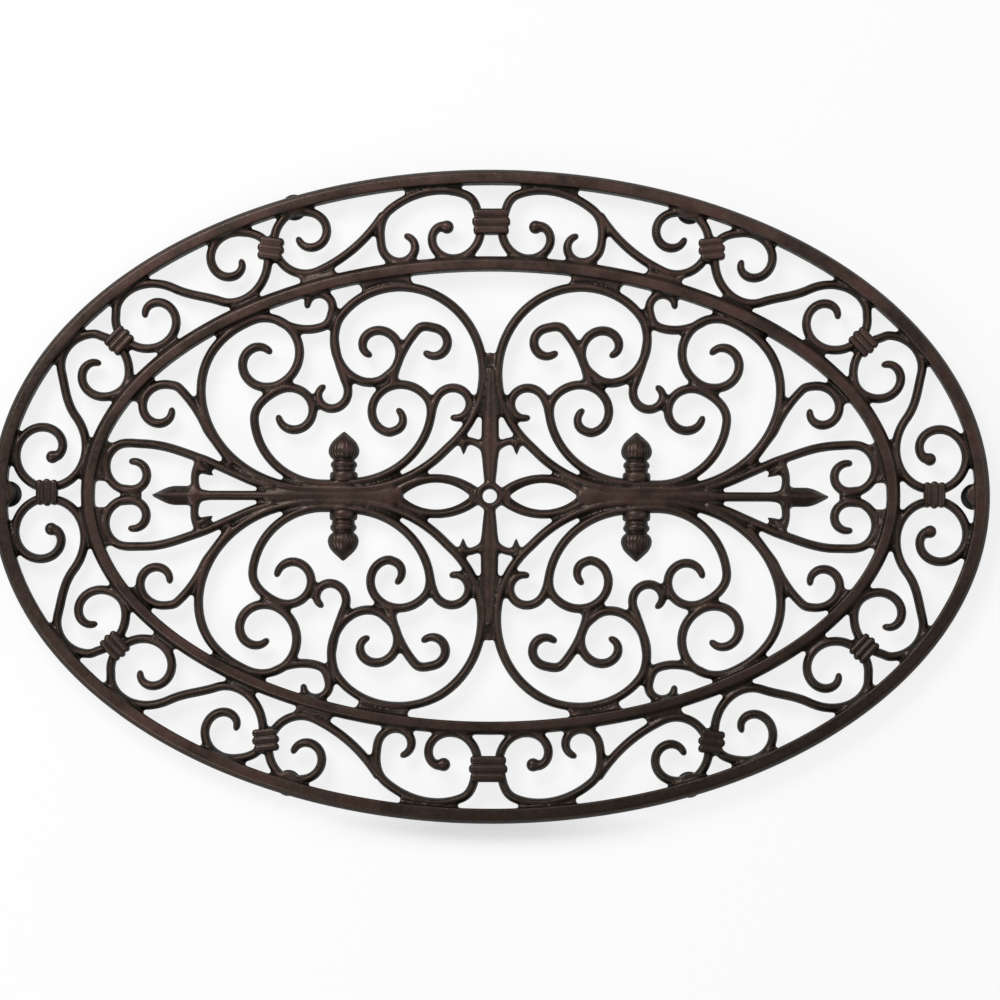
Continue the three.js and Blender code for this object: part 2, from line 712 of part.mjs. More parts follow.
const crowns = inAllQuarters(joinAll(crownCutters));
const ends = inAllQuarters(end.cutter);
const rosette = joinAll([hub(), stem(1), stem(-1), ...everyPetal(0)]);
const bore = disc(0, 0, HUB_BORE_RADIUS, 0, CUTTER_TOP, HUB_SIDES);
add("centre_rosette", cutAll(rosette.subtract(bore), crowns));
const besideSpear = [...ends, ...everyPetal(SEAM)];
add("spear_right", cutAll(spear(1), besideSpear));
add("spear_left", cutAll(spear(-1), besideSpear));
for (const [where, place] of FEET) add("rubber_foot_" + where, rubberFoot(place), RUBBER);

const doorMat = new THREE.Group();
for (const { name, solid, material } of members) {
  const mesh = new THREE.Mesh(geometryOf(solid), material);
  mesh.name = name;
  doorMat.add(mesh);
}

export default doorMat;
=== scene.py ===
"""Oval cast iron door mat, finished as one antiqued casting on six rubber feet."""

from math import atan2, cos, hypot, pi, radians, sin, sqrt

import bmesh
import bpy
import numpy as np
from bpy.props import FloatProperty, FloatVectorProperty, IntProperty, PointerProperty
from mathutils import Matrix, Vector
from mathutils.kdtree import KDTree


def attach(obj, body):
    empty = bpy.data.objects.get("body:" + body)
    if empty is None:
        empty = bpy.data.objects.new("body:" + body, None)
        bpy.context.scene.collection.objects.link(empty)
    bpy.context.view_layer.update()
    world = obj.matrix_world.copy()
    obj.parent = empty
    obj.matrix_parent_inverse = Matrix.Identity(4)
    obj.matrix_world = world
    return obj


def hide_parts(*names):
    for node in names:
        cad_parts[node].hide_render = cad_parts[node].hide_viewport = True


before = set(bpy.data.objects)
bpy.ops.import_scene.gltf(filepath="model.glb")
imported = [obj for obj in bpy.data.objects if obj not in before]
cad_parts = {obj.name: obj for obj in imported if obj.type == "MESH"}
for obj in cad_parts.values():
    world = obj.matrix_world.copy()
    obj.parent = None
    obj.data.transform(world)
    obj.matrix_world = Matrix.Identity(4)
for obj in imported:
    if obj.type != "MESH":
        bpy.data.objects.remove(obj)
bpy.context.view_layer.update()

bl_info = {
    "name": "Cast iron door mat",
    "version": (1, 0, 0),
    "blender": (4, 5, 0),
    "location": "View3D > Sidebar > Door Mat",
    "description": "Builds an oval scrollwork door mat from bars, rims, collars, finials and feet",
    "category": "Add Mesh",
}

BODY = "root"
MM = 0.001
QUARTERS = (("upper_right", 1, 1), ("upper_left", -1, 1), ("lower_left", -1, -1), ("lower_right", 1, -1))


# Properties


class DoorMatSizes(bpy.types.PropertyGroup):
    """Real sizes of the casting."""

    half_length: FloatProperty(name="Half length", description="Centre to the end", default=0.325, unit="LENGTH")
    half_width: FloatProperty(name="Half width", description="Centre to a long side", default=0.215, unit="LENGTH")
    outer_rim_width: FloatProperty(name="Outer rim", description="Its width", default=0.0097, unit="LENGTH")
    inner_half_length: FloatProperty(name="Inner length", description="Half of it", default=0.267, unit="LENGTH")
    inner_half_width: FloatProperty(name="Inner width", description="Half of it", default=0.157, unit="LENGTH")
    inner_rim_width: FloatProperty(name="Inner rim", description="Its width", default=0.0089, unit="LENGTH")
    iron_bottom: FloatProperty(name="Underside", description="Height of the rims", default=0.004, unit="LENGTH")
    rim_top: FloatProperty(name="Rim top", description="Height of the rims' tops", default=0.016, unit="LENGTH")
    bar_bottom: FloatProperty(name="Bar underside", description="Height of the backs", default=0.006, unit="LENGTH")
    bar_top: FloatProperty(name="Bar top", description="Height of the crowns", default=0.0136, unit="LENGTH")
    bar_width: FloatProperty(name="Bar width", description="Width of a scroll bar", default=0.006, unit="LENGTH")
    collar_top: FloatProperty(name="Collar top", description="Height of the ribs", default=0.0162, unit="LENGTH")
    grain: FloatProperty(name="Grain", description="Cell size of the casting", default=0.00075, unit="LENGTH")
    fillet: FloatProperty(name="Fillet", description="Radius where members meet", default=0.0006, unit="LENGTH")
    softening: IntProperty(name="Softening", description="How often the casting's edges are smoothed", default=2)


class DoorMatFinish(bpy.types.PropertyGroup):
    """Colours of the finishes."""

    # Painted shade and light: the recess black also stands for shade on the steep sides and in the recesses, and
    # the brown also stands for light on the tops, besides the worn finish.
    recess: FloatVectorProperty(
        name="Recess", description="Black of recesses and sides", default=(0.0095, 0.0075, 0.0052), subtype="COLOR"
    )
    rubbed_and_lit: FloatVectorProperty(
        name="Rubbed", description="Brown of the high places", default=(0.0705, 0.0405, 0.0334), subtype="COLOR"
    )
    rust: FloatVectorProperty(
        name="Rust", description="Warmer stain in patches", default=(0.063, 0.0273, 0.0238), subtype="COLOR"
    )
    rubber: FloatVectorProperty(
        name="Rubber", description="Colour of the feet", default=(0.012, 0.012, 0.012), subtype="COLOR"
    )


class DoorMatStage(bpy.types.PropertyGroup):
    """The floor, the lamps and the camera."""

    camera_place: FloatVectorProperty(
        name="Camera place", description="Where the camera stands", default=(0.0717, -0.2970, 2.878),
        subtype="TRANSLATION", unit="LENGTH",
    )
    camera_turn: FloatVectorProperty(
        name="Camera turn", description="Its turn from straight down", default=(0.10238, 0.02213, 0.00526),
        subtype="EULER", unit="ROTATION",
    )
    camera_lens: FloatProperty(name="Lens", description="Focal length in millimetres", default=159.4)
    lamp_power: FloatProperty(name="Lamp power", description="Power of the main lamp in watts", default=32.0)


def sizes():
    return bpy.context.scene.door_mat_sizes


# Centrelines
#
# One quarter (+X, +Y) in millimetres, from the eye or root of each scroll outwards. An arc turns about
# (x, y) from one angle to another, in degrees, while its radius runs evenly from one value to the other.


def arc(x, y, radius_from, radius_to, angle_from, angle_to):
    def point(t):
        radius = radius_from + (radius_to - radius_from) * t
        angle = radians(angle_from + (angle_to - angle_from) * t)
        return Vector((x + radius * cos(angle), y + radius * sin(angle)))

    return point


def line(x0, y0, x1, y1):
    return lambda t: Vector((x0 + (x1 - x0) * t, y0 + (y1 - y0) * t))


def bend(before, after):
    """A smooth bend from the end of one stretch to the start of the next."""
    reach_share = 0.36
    start, end = before(1), after(0)
    reach = (end - start).length * reach_share
    leave = start + (before(1) - before(0.999)).normalized() * reach
    arrive = end - (after(0.001) - after(0)).normalized() * reach

    def point(t):
        s = 1 - t
        return start * s**3 + leave * (3 * s * s * t) + arrive * (3 * s * t * t) + end * t**3

    return point


def chain(*stretches):
    """Points along stretches joined by smooth bends, in millimetres."""
    spacing = 1.3
    joined = [stretches[0]]
    for before, after in zip(stretches, stretches[1:]):
        joined += [bend(before, after), after]
    points = []
    for stretch in joined:
        rough = sum((stretch((i + 1) / 20) - stretch(i / 20)).length for i in range(20))
        steps = max(1, round(rough / spacing))
        points += [stretch(i / steps) for i in range(0 if not points else 1, steps + 1)]
    return points


CARTOUCHE = chain(
    arc(28.1, 171.6, 7, 22.2, 56, -202),
    arc(6.2, 161, 38.7, 66.3, 74, 24),
    arc(58.6, 164.4, 13.4, 6.4, -3, -260),
)
SHOULDER = chain(
    arc(166.8, 225.4, 104, 95.5, -157, -127),
    arc(120.4, 165.4, 19.7, 23.4, -106, 51),
    arc(120, 172.1, 14.7, 7, 86, 345),
)
DIAGONAL = chain(
    arc(169.1, 153.4, 3.9, 20.3, -200, 101),
    arc(181.2, 144.2, 39.2, 17.8, 149, 256),
    arc(238.6, 109.7, 40.1, 12.5, 140, 54),
    arc(227.5, 115, 18.6, 18.4, 5, -55),
    arc(221.6, 116.1, 21.6, 4.2, -70, -360),
)
SIDE = chain(
    arc(256.4, 80.2, 4.5, 19.2, 102, -136),
    arc(260.8, 80.3, 24, 24, -190, -255),
    arc(261.7, 83, 22.4, 19.6, 95, -9),
    arc(295.1, 20.7, 38.1, 17.2, 129, 250),
    arc(289.7, 28.2, 24.4, 7.6, -75, 215),
)
CROWN = chain(
    line(98.3, 4.35, 92, 4.3),
    arc(86.9, 88.3, 83.6, 82.1, -95, -131),
    arc(65.7, 86.6, 66.5, 45.4, -127, -315),
    arc(68.3, 91, 39.1, 13, 33, -89),
    arc(76.1, 96.5, 18.8, 3.8, -133, -430),
)
CROWN_SPUR = chain(arc(-6.5, 68.4, 71, 68.1, 4, 37), arc(37.6, 100.1, 10.3, 7.6, 99, 322))
CROWN_DROP = chain(arc(18.6, 114.4, 84.5, 85.2, -8, -23), arc(105.2, 66.9, 12.9, 5.6, 148, 425))
HEART_LEFT = chain(
    arc(83.3, 68.9, 62.1, 48.6, -74, -153),
    arc(61.7, 52.5, 23.4, 11.8, 145, -66),
    arc(64.8, 48.7, 6.6, 9.1, -120, -249),
)
HEART_LEAF = chain(line(39.2, 50, 37.8, 57.5), arc(23.2, 59.2, 13.4, 7.4, 12, 293))
HEART_RIGHT = chain(
    line(94, 7.9, 99, 7.8), arc(109.7, 54.6, 46.9, 44.9, -92, -7), arc(129.8, 54.4, 17.2, 8.7, 60, 353)
)
WING = chain(
    line(97.7, 4.3, 106, 4.3),
    arc(138.1, 91.1, 88.4, 42.5, -102, 9),
    arc(148.4, 94.3, 22.4, 23.8, 67, 246),
    arc(149.1, 88.3, 17.5, 6.9, -100, 139),
)
WING_HOOK = chain(arc(106.1, 140.4, 42.6, 29.5, -35, -83), arc(113.5, 124.6, 10.2, 6.4, -160, -374))
WING_SPUR = chain(
    line(168.5, 20.5, 180.5, 36.8),
    arc(263.1, 15.4, 82.6, 80.9, 159, 137),
    arc(214.8, 56.6, 16.6, 5.6, 107, -192),
)
END = chain(
    line(141, 5.6, 150, 7.9),
    line(161, 12, 178, 19.6),
    line(188, 23.9, 200, 28.1),
    arc(229, -41.3, 75, 75, 107.5, 91),
    arc(235, 18.6, 16.2, 15.8, 48, -90),
    arc(233.5, 13.8, 10.5, 8, -77, -290),
)

PETAL = chain(arc(35, -31.5, 43.3, 43.3, 128, 47))
STEM_ARM = chain(arc(15, 22, 14.3, 14.3, 150, 68))
STEM_THORN = chain(line(17.2, 36.5, 17.3, 26.8))
SPEAR_ARM = chain(arc(170.7, 11, 22.1, 22.1, -27, 34))
SPEAR_THORN = chain(line(190, 18.6, 180, 12.9))

WIDE = 1.035  # the field's main scrolls, as a share of the plain bar's width

# Each bar: the member it belongs to and its centreline, then its width as a share of the plain one and its
# ends, if they aren't 1 and a root and a tip.
BARS = (
    ("cartouche_scroll", CARTOUCHE),
    ("shoulder_scroll", SHOULDER),
    ("diagonal_scroll", DIAGONAL, 1, "tip tip"),
    ("side_scroll", SIDE, 1, "tip root"),
    ("crown_scroll", CROWN, WIDE),
    ("crown_scroll", CROWN_SPUR, WIDE),
    ("crown_scroll", CROWN_DROP),
    ("heart_scroll", HEART_LEFT),
    ("heart_scroll", HEART_LEAF),
    ("heart_scroll", HEART_RIGHT),
    ("wing_scroll", WING, WIDE),
    ("wing_scroll", WING_HOOK),
    ("wing_scroll", WING_SPUR),
    ("end_scroll", END),
    ("centre_rosette", PETAL, 0.92, "root root"),
    ("centre_rosette", STEM_ARM, 0.84, "root root"),
    ("centre_rosette", STEM_THORN, 1, "root point"),
    ("spear", SPEAR_ARM, 0.92, "root root"),
    ("spear", SPEAR_THORN, 0.92, "root point"),
)

# The round knobs at the eyes of two scrolls: member, x, y and radius.
KNOBS = (("cartouche_scroll", 29, 176.6, 4.5), ("side_scroll", 286.3, 23.7, 4.3))

# Webs that fill the narrow gap between a scroll and a rim: the member and its centreline, the web's middle
# and length along it, and the rim where it is the outer one.
WEBS = (
    ("cartouche_scroll", CARTOUCHE, 38, 201.2, 37, "outer"),
    ("cartouche_scroll", CARTOUCHE, 59, 153.4, 20),
    ("shoulder_scroll", SHOULDER, 117, 145.7, 28),
    ("diagonal_scroll", DIAGONAL, 161, 128, 18),
    ("diagonal_scroll", DIAGONAL, 216, 98, 20),
    ("side_scroll", SIDE, 278.5, 95, 17, "outer"),
    ("crown_scroll", CROWN, 66, 137, 34),
    ("wing_scroll", WING, 160, 114, 34),
    ("wing_scroll", WING_SPUR, 225, 67, 17),
    ("end_scroll", END, 251, 22, 30),
)


# Modelling steps


def deselect():
    if bpy.context.mode != "OBJECT":
        bpy.ops.object.mode_set(mode="OBJECT")
    bpy.ops.object.select_all(action="DESELECT")


def pick(*objects):
    """Selects only these objects and makes the first one active."""
    deselect()
    for each in objects:
        each.select_set(True)
    bpy.context.view_layer.objects.active = objects[0]
    return objects[0]


def edit(piece):
    """Opens a piece with all of its mesh selected."""
    pick(piece)
    bpy.ops.object.mode_set(mode="EDIT")
    bpy.ops.mesh.select_all(action="SELECT")


def leave_edit():
    bpy.ops.object.mode_set(mode="OBJECT")


def smooth_shaded(piece, degrees):
    pick(piece)
    bpy.ops.object.shade_smooth_by_angle(angle=radians(degrees))


def apply_modifier(piece, kind, **settings):
    pick(piece)
    modifier = piece.modifiers.new(kind.title(), kind)
    for key, value in settings.items():
        setattr(modifier, key, value)
    bpy.ops.object.modifier_apply(modifier=modifier.name)
    return piece


def joined(objects, name):
    piece = pick(*objects)
    bpy.ops.object.join()
    piece.name = piece.data.name = name
    return piece


def poly_curve(name, points, cyclic):
    """A flat curve that runs straight from point to point, in metres."""
    curve = bpy.data.curves.new(name, "CURVE")
    curve.dimensions = "2D"
    spline = curve.splines.new("POLY")
    spline.points.add(len(points) - 1)
    for point, (x, y) in zip(spline.points, points):
        point.co = (x, y, 0, 1)
    spline.use_cyclic_u = cyclic
    holder = bpy.data.objects.new(name, curve)
    bpy.context.scene.collection.objects.link(holder)
    return holder


def meshed(holder, height):
    """A curve turned into a closed mesh and lifted to a height."""
    pick(holder)
    bpy.ops.object.convert(target="MESH")
    piece = bpy.context.object
    piece.data.transform(Matrix.Translation((0, 0, height)))
    close_up(piece)
    return piece


def swept(name, points, outline, widths=(), height=0.0, cyclic=False):
    """A closed outline of [aside, up] swept along points, in metres. widths scales it point by point."""
    section = poly_curve(name + "_section", outline, True)
    path = poly_curve(name, points, cyclic)
    path.data.bevel_mode = "OBJECT"
    path.data.bevel_object = section
    path.data.use_fill_caps = not cyclic
    for point, width in zip(path.data.splines[0].points, widths):
        point.radius = width
    piece = meshed(path, height)
    bpy.data.objects.remove(section)
    return piece


def close_up(piece):
    """Merges doubled points and turns the faces outwards."""
    edit(piece)
    bpy.ops.mesh.remove_doubles(threshold=1e-6)
    bpy.ops.mesh.normals_make_consistent(inside=False)
    leave_edit()


def fuse(piece, cell):
    """Fuses all that a mesh holds into one skin."""
    apply_modifier(piece, "REMESH", mode="VOXEL", voxel_size=cell)
    apply_modifier(piece, "SMOOTH", factor=0.5, iterations=2)


def half_round(width, height, side_share=0.36, ridge_share=0.35):
    """A bar's section: a flat back, short upright sides and an arch with a soft ridge."""
    outline = [(-width / 2, 0), (width / 2, 0)]
    steps = 12
    for i in range(steps + 1):
        angle = pi * i / steps
        arch = (1 - ridge_share) * sin(angle) + ridge_share * (1 - abs(cos(angle)))
        outline.append((width / 2 * cos(angle), height * (side_share + (1 - side_share) * arch)))
    return outline


def low_arch(width, height):
    """A stem's section, flatter across than a bar's."""
    return half_round(width, height, side_share=0.6, ridge_share=0.1)


def roof(width, height):
    """A leaf's section: two slopes that meet in a ridge."""
    half, eaves, ridge = width / 2, 0.3 * height, 0.03 * width
    return [(-half, 0), (half, 0), (half, eaves), (ridge, height), (-ridge, height), (-half, eaves)]


def tip_widths(points, width=1, ends="root tip"):
    """The width along a bar, drawn down and rounded at each tip, or run out to a point."""
    tip_length, tip_share, rounding, blunt = 13.0, 0.74, 2.2, 0.45
    point_length, point_share = 8, 0.12
    run = [0.0]
    for a, b in zip(points, points[1:]):
        run.append(run[-1] + (b - a).length)

    def share(distance, end):
        if end == "root":
            return 1.0
        if end == "point":
            return min(1, point_share + distance / point_length)
        drawn = tip_share + (1 - tip_share) * min(1, distance / tip_length)
        if distance < rounding:
            drawn *= blunt + (1 - blunt) * sqrt(distance / rounding)
        return drawn

    start, finish = ends.split()
    return [min(share(at, start), share(run[-1] - at, finish)) * width for at in run]


def copied(name, piece, sideways=1, upward=1):
    """A mirror image of a piece in another quarter, with its own mesh and its faces outwards."""
    twin = piece.copy()
    twin.data = piece.data.copy()
    twin.name = twin.data.name = name
    bpy.context.scene.collection.objects.link(twin)
    twin.data.transform(Matrix.Diagonal((sideways, upward, 1, 1)))
    if sideways * upward < 0:
        twin.data.flip_normals()
    return twin


def turned(name, profile, sides):
    """A turned body about Z: a circle extruded and resized along [radius, height] points in metres."""
    radius, height = profile[0]
    deselect()
    bpy.ops.mesh.primitive_circle_add(vertices=sides, radius=radius, location=(0, 0, height), fill_type="NGON")
    piece = bpy.context.object
    piece.name = piece.data.name = name
    bpy.ops.object.transform_apply()
    edit(piece)
    for next_radius, next_height in profile[1:]:
        bpy.ops.mesh.extrude_region_move(TRANSFORM_OT_translate={"value": (0, 0, next_height - height)})
        share = next_radius / radius
        bpy.ops.transform.resize(value=(share, share, 1), center_override=(0, 0, next_height))
        radius, height = next_radius, next_height
    leave_edit()
    close_up(piece)
    return piece


def slab(name, outline, low, high):
    """A flat slab with an outline in millimetres, from one height to another in metres."""
    flat = poly_curve(name, [(x * MM, y * MM) for x, y in outline], True)
    flat.data.fill_mode = "BOTH"
    flat.data.extrude = (high - low) / 2
    return meshed(flat, (high + low) / 2)


def placed(piece, x, y):
    """Moves a piece's mesh by x and y in millimetres."""
    piece.data.transform(Matrix.Translation((x * MM, y * MM, 0)))
    return piece


def spun(piece, angle):
    """Turns a piece's mesh about Z by an angle in radians."""
    piece.data.transform(Matrix.Rotation(angle, 4, "Z"))
    return piece


def mirrored_outline(side):
    """The whole outline of what is given by [distance along, half width] on one side."""
    return list(side) + [(along, -half) for along, half in reversed(side)]


def places_of(mesh):
    """The places of a mesh's vertices, one to a row."""
    places = np.empty(len(mesh.vertices) * 3)
    mesh.vertices.foreach_get("co", places)
    return places.reshape(-1, 3)


# The casting


def oval(half_length, half_width, inward, count):
    """Points round an oval, at a distance in from its edge, in metres."""
    a, b, turn = half_length - inward, half_width - inward, 2 * pi / count
    return [Vector((a * cos(turn * i), b * sin(turn * i))) for i in range(count)]


def rim(name, half_length, half_width, width):
    """A rim: flat top, a broad bevel along the outer edge and a narrow one along the inner edge."""
    s = sizes()
    bevel, drop, edge = 2.7 * MM, 3.2 * MM, 0.5 * MM
    half, tall = width / 2, s.rim_top - s.iron_bottom
    outline = [(-half, 0), (half, 0), (half, tall - edge), (half - edge, tall)]
    outline += [(-half + bevel, tall), (-half, tall - drop)]
    track = oval(half_length, half_width, half, 720)
    return swept(name, track, outline, height=s.iron_bottom, cyclic=True)


FEET_MM = {"right": (315.3, 0), "left": (-315.3, 0)}
FEET_MM.update({where: (130 * sideways, 188.8 * upward) for where, sideways, upward in QUARTERS})
FEET_MM["upper_left"] = (-130, 191.0)  # set further out, so that its edge shows past the rim


def lug(x, y):
    """A half disc of iron that flares into the rim's inner side, over a foot."""
    s = sizes()
    radius = 5.8 if abs(y) < 1 else 7.2
    back, back_narrowing, flare, flare_from = 3.0, 3.5, 3.6, -4.4
    side = []
    for a in np.linspace(0, pi / 2, 20):
        along = -radius * cos(a)
        wider = flare * max(0, (along - flare_from) / -flare_from) ** 2
        side.append((along, radius * sin(a) + wider))
    side.append((back, radius + flare - back_narrowing))
    piece = slab("lug", mirrored_outline(side), s.iron_bottom, LUG_TOP)
    outwards = atan2(y / s.half_width**2, x / s.half_length**2)
    return placed(spun(piece, outwards), x, y)


def web(points, x, y, length, half_length, half_width, rim_width):
    """The outlines of a web from a stretch of centreline to the middle of the rim beside it, and of the
    raised strip along the web's middle, which may be empty."""
    middle = Vector((x, y))
    first = last = min(range(len(points)), key=lambda i: (points[i] - middle).length)
    while first > 0 and (points[first - 1] - middle).length < length / 2:
        first -= 1
    while last < len(points) - 1 and (points[last + 1] - middle).length < length / 2:
        last += 1
    near = points[first : last + 1]
    a, b = half_length - rim_width / 2, half_width - rim_width / 2
    far = [p / hypot(p.x / a, p.y / b) for p in near]
    groove, least_width, least_points = 1.2, 0.9, 6
    low = sizes().bar_width / MM / 2 + groove
    inner, outer = [], []
    for p, f in list(zip(near, far))[1:-1]:
        across = (f - p).normalized()
        high = (f - p).length - rim_width / 2 - groove
        if high - low > least_width:
            inner.append(p + across * low)
            outer.append(p + across * high)
    strip = inner + outer[::-1] if len(inner) >= least_points else []
    return near + far[::-1], strip


def tapered(name, outline, low, top, angle, shape=low_arch):
    """A straight member along a list of [distance along, half width] in millimetres, of one height."""
    step = 1.5
    along = [outline[0][0]]
    for (a, _), (b, _) in zip(outline, outline[1:]):
        steps = max(1, round((b - a) / step))
        along += [a + (b - a) * (i + 1) / steps for i in range(steps)]
    widths = np.interp(along, *zip(*outline))
    along = [x * MM for x in along]
    piece = swept(name, [(x, 0) for x in along], shape(2 * MM, 1), widths)
    # A swept section grows in height with its width, so each vertex's height is set back.
    places = places_of(piece.data)
    places[:, 2] = low + places[:, 2] / np.interp(places[:, 0], along, widths) * (top - low)
    piece.data.vertices.foreach_set("co", places.ravel())
    return spun(piece, angle)


# The outlines of the straight members, as [distance along, half width] in millimetres.
STEM_OUTLINE = ((7, 3.5), (17, 4.6), (24, 5.2), (30, 6.1), (34, 6.3))
STEM_OUTLINE += ((39, 5.8), (50, 5.6), (64, 4.6), (76, 3.4), (84, 2))
STEM_WEB = ((49, 4), (54, 7.2), (80, 7.2), (94, 1.4))
HUB_CHEEK = ((7, 3.2), (9.5, 4), (12.9, 4))
WAIST_WEB = ((57.2, 3.4), (60, 6), (64, 9.5), (72, 8), (90, 6), (104, 6))
WAIST_WEB += ((118, 7), (127, 7.4), (131, 6.5), (146, 4.2), (147, 3))
SHAFT_OUTLINE = ((104, 1.2), (120, 3.4), (146, 3), (183, 3), (187.5, 3.8), (191, 5.8), (196, 6.6))
HEAD_OUTLINE = ((192, 6.4), (206, 6.4), (209, 5.9), (212, 4.9), (215.5, 3.2), (218.5, 1.6), (220.6, 0.4))

# The hub's section: [aside in millimetres, share of its height].
HUB_SECTION = ((-2.0, 0), (2.4, 0), (2.4, 0.6), (1.5, 0.9), (0.6, 1), (-1.0, 1), (-2.0, 0.85))

# Heights of their own, and how far some members stand under or over the bars' crowns, in metres.
LUG_TOP, HUB_TOP, STEM_WEB_TOP = 0.0142, 0.0146, 0.0115
WEB_DROP, PETAL_FILL_DROP, CHEEK_DROP, WAIST_DROP = 0.0018, 0.0032, 0.0008, 0.0002
STEM_RISE, HEAD_RISE = 0.0006, 0.0008


def petal_fill():
    """The outline that thickens a petal towards its ends, so that its hole runs out in two points."""
    middle, hole_radius, hole_drop, bar_radius, bar_drop, reach = 35, 32.9, 24.2, 43.3, 31.5, 22.25
    along = np.linspace(-reach, reach, 40)
    edge = [(middle + x, sqrt(hole_radius**2 - x * x) - hole_drop) for x in along]
    back = [(middle + x, sqrt(bar_radius**2 - x * x) - bar_drop) for x in along[::-1]]
    return edge + back


def knob(name, x, y, radius):
    """A round knob with a domed top."""
    s = sizes()
    side_share, sides = 0.35, 24
    profile = [(radius * MM, s.bar_bottom)]
    for angle in np.radians((0, 20, 40, 60, 75, 87)):
        up = side_share + (1 - side_share) * sin(angle)
        profile.append((radius * cos(angle) * MM, s.bar_bottom + (s.bar_top - s.bar_bottom) * up))
    return placed(turned(name, profile, sides), x, y)


def quarter_members(rims):
    """The members of one quarter as [member, centreline in millimetres, mesh]."""
    s = sizes()
    section = half_round(s.bar_width, s.bar_top - s.bar_bottom)
    parts = []
    for member, points, *rest in BARS:
        widths = tip_widths(points, *rest)
        parts.append((member, points, swept(member, [p * MM for p in points], section, widths, s.bar_bottom)))
    for member, x, y, radius in KNOBS:
        parts.append((member, [Vector((x, y))], knob(member, x, y, radius)))
    for member, points, x, y, length, *beside in WEBS:
        rim_sizes = (size / MM for size in rims["outer" if beside else "inner"])
        outline, strip = web(points, x, y, length, *rim_sizes)
        parts.append((member, points, slab(member, outline, s.bar_bottom, s.bar_top - WEB_DROP)))
        if strip:
            parts.append((member, points, slab(member, strip, s.bar_bottom, s.bar_top)))
    fill = slab("petal_fill", petal_fill(), s.bar_bottom, s.bar_top - PETAL_FILL_DROP)
    return parts + [("centre_rosette", PETAL, fill)]


def rosette_members():
    """The hub with its cheeks, and the stems with their webs."""
    s = sizes()
    node, middle, tall = "centre_rosette", 7.1 * MM, HUB_TOP - s.bar_bottom
    section = [(aside * MM, up * tall) for aside, up in HUB_SECTION]
    hub = swept("hub", oval(middle, middle, 0, 64), section, height=s.bar_bottom, cyclic=True)
    parts = [(node, [Vector((7 * cos(a), 7 * sin(a))) for a in np.linspace(0, 6, 20)], hub)]
    for angle in (0, pi):
        cheek = slab("hub_cheek", mirrored_outline(HUB_CHEEK), s.bar_bottom, s.bar_top - CHEEK_DROP)
        parts.append((node, [Vector((9 * cos(angle), 0))], spun(cheek, angle)))
    for upward in (1, -1):
        angle = upward * pi / 2
        track = [Vector((side, y * upward)) for y in range(8, 90) for side in (-2, 2)]
        parts.append((node, track, tapered("stem", STEM_OUTLINE, s.iron_bottom, s.bar_top + STEM_RISE, angle)))
        between = slab("stem_web", mirrored_outline(STEM_WEB), s.bar_bottom, STEM_WEB_TOP)
        parts.append((node, track, spun(between, angle)))
    return parts


def spear_members():
    """Both spears, each with its shaft, its head and the web at the waist."""
    s = sizes()
    parts = []
    for node, sideways, angle in (("spear_right", 1, 0), ("spear_left", -1, pi)):
        track = [Vector((x * sideways, 0)) for x in range(56, 221)]
        for outline, top, shape in (
            (SHAFT_OUTLINE, s.bar_top, low_arch),
            (HEAD_OUTLINE, s.bar_top + HEAD_RISE, roof),
            (WAIST_WEB, s.bar_top - WAIST_DROP, low_arch),
        ):
            parts.append((node, track, tapered(node, outline, s.bar_bottom, top, angle, shape)))
    return parts


def members():
    """Every member of the casting as [node name, centreline in millimetres, mesh]."""
    s = sizes()
    rims = {
        "outer": (s.half_length, s.half_width, s.outer_rim_width),
        "inner": (s.inner_half_length, s.inner_half_width, s.inner_rim_width),
    }
    parts = []
    for member, points, mesh in quarter_members(rims):
        for where, sideways, upward in QUARTERS:
            there = [Vector((p.x * sideways, p.y * upward)) for p in points]
            parts.append((node_of(member, where, sideways), there, copied(member, mesh, sideways, upward)))
        bpy.data.objects.remove(mesh)
    for beside, (half_length, half_width, width) in rims.items():
        node = beside + "_rim"
        track = [p / MM for share in (0.1, 0.5, 0.9) for p in oval(half_length, half_width, width * share, 900)]
        parts.append((node, track, rim(node, half_length, half_width, width)))
    for x, y in FEET_MM.values():
        edge = [Vector((x + 5 * cos(a), y + 5 * sin(a))) for a in np.linspace(0, 6, 12)]
        parts.append(("outer_rim", edge, lug(x, y)))
    return parts + rosette_members() + spear_members()


def node_of(member, where, sideways):
    """The node that a member's copy in one quarter belongs to."""
    spear = "spear_right" if sideways > 0 else "spear_left"
    return {"centre_rosette": member, "spear": spear}.get(member, member + "_" + where)


def settled(x, y):
    """How far up the photographed casting lies from the mirrored pattern at x and y, in millimetres."""
    s = sizes()
    in_inner = np.hypot(x / (s.inner_half_length / MM), y / (s.inner_half_width / MM))
    in_outer = np.hypot(x / (s.half_length / MM), y / (s.half_width / MM))
    # How far across the border, from the inner rim at 0 to the outer rim at 1.
    past = np.maximum(in_inner - 0.95, 0)
    across = past / np.maximum(past + np.maximum(0.985 - in_outer, 0), 1e-6)
    stops, field_stretch = (0, 0.25, 0.8, 1), 0.0026
    shift = np.interp(across, stops, (0.62, 1.35, 1.35, 1.0))
    stretch = np.interp(across, stops, (-0.003, -0.0026, -0.0026, -0.0045))
    border = np.clip((in_inner - 0.85) / 0.1, 0, 1)
    return border * shift + y * (field_stretch + border * (stretch - field_stretch))


def settle(piece):
    """Moves a piece's points to where they lie in the photographed casting."""
    places = places_of(piece.data)
    places[:, 1] += settled(places[:, 0] / MM, places[:, 1] / MM) * MM
    piece.data.vertices.foreach_set("co", places.ravel())
    piece.data.update()


